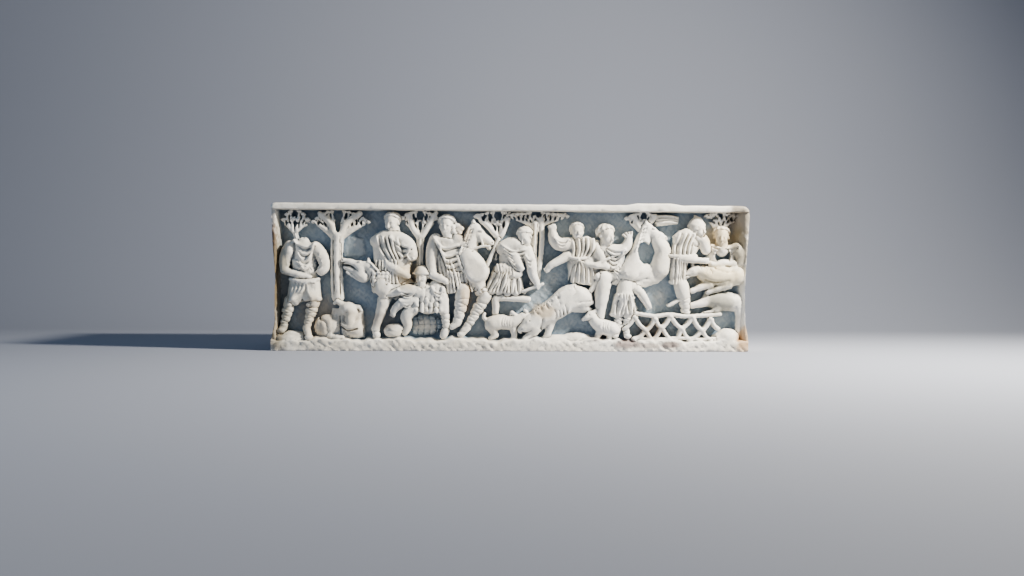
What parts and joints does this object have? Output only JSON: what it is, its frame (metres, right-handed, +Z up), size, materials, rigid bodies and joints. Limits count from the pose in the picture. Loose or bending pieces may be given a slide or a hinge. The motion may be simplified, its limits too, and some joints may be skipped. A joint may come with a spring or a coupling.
{
  "type": "stone sarcophagus",
  "caption": "Open marble chest for a burial, its front carved in high relief with a hunt of riders, horses, beasts, trees and a net.",
  "frame": {"origin": "middle of the underside, at the height of the floor it stands on", "axes": "+X along the length, to the right of someone who faces the carved front; the carved front faces -Y; +Z up"},
  "size_m": [2.1, 0.7, 0.653],
  "materials": {
    "marble": "worn, matt"
  },
  "bodies": {
    "root": {"chest": "marble"}
  },
  "joints": []
}
